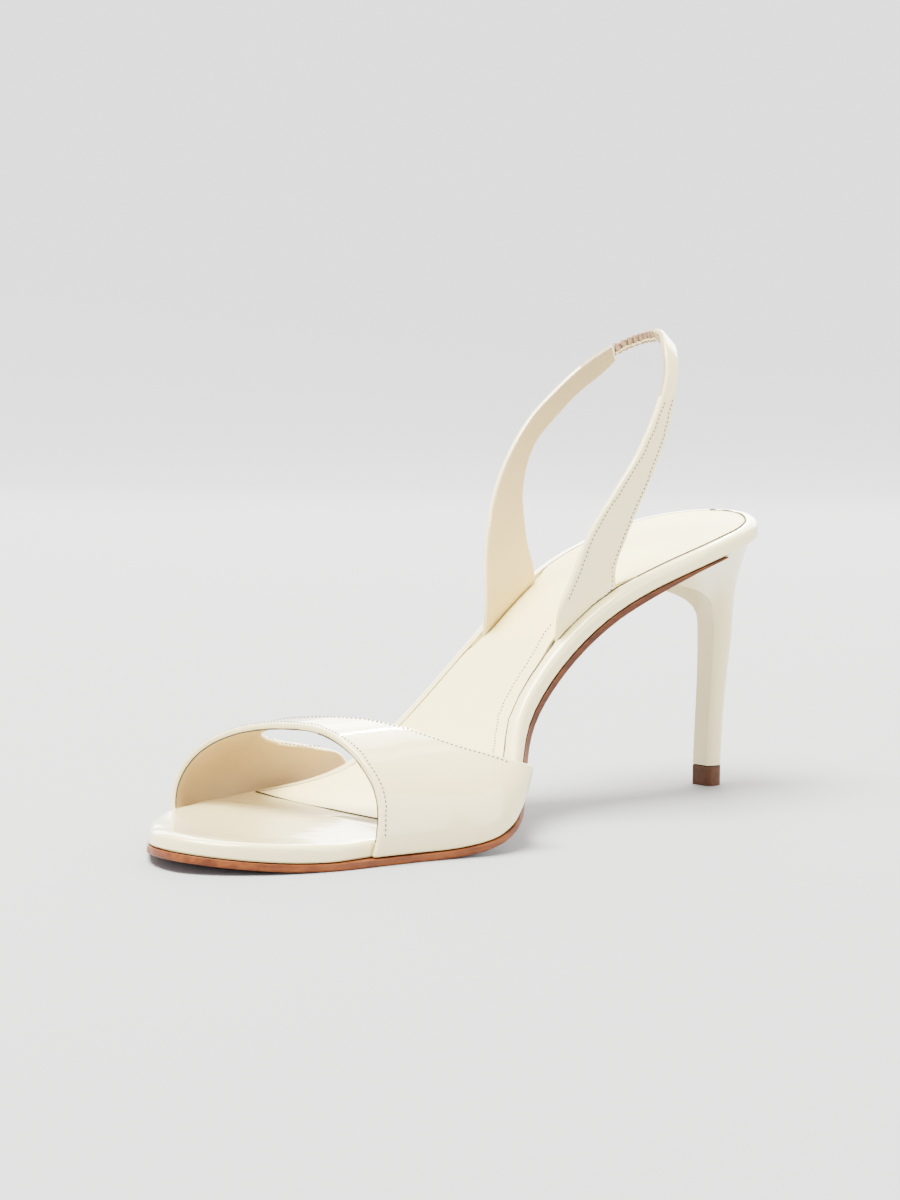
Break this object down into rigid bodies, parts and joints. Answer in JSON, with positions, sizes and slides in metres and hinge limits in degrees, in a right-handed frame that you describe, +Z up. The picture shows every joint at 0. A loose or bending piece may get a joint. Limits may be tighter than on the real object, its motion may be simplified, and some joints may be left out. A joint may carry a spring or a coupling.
{
  "type": "slingback high-heel sandal",
  "caption": "Open-toe slingback sandal for the right foot with a wide toe band, a looped heel strap with an elastic insert and a slim high heel.",
  "frame": {"origin": "centre of the footprint of the whole sandal, on the floor", "axes": "+Z up, toe towards -Y, inner side of the right foot towards +X"},
  "size_m": [0.092, 0.22, 0.1327],
  "materials": {
    "tan_leather": "smooth burnished sole leather",
    "patent": "glossy cream patent",
    "sock_leather": "soft matte lining leather",
    "patent_vamp": "glossy cream patent",
    "patent_straps": "glossy cream patent",
    "elastic": "ruched elastic webbing",
    "patent_heel": "glossy cream patent over a moulded heel",
    "brown_rubber": "satin brown wear rubber"
  },
  "bodies": {
    "root": {"outsole": "tan_leather", "footbed": "patent", "sock": "sock_leather", "vamp": "patent_vamp", "strap_inner": "patent_straps", "strap_outer": "patent_straps", "elastic": "elastic", "heel": "patent_heel", "top_piece": "brown_rubber"}
  },
  "joints": []
}
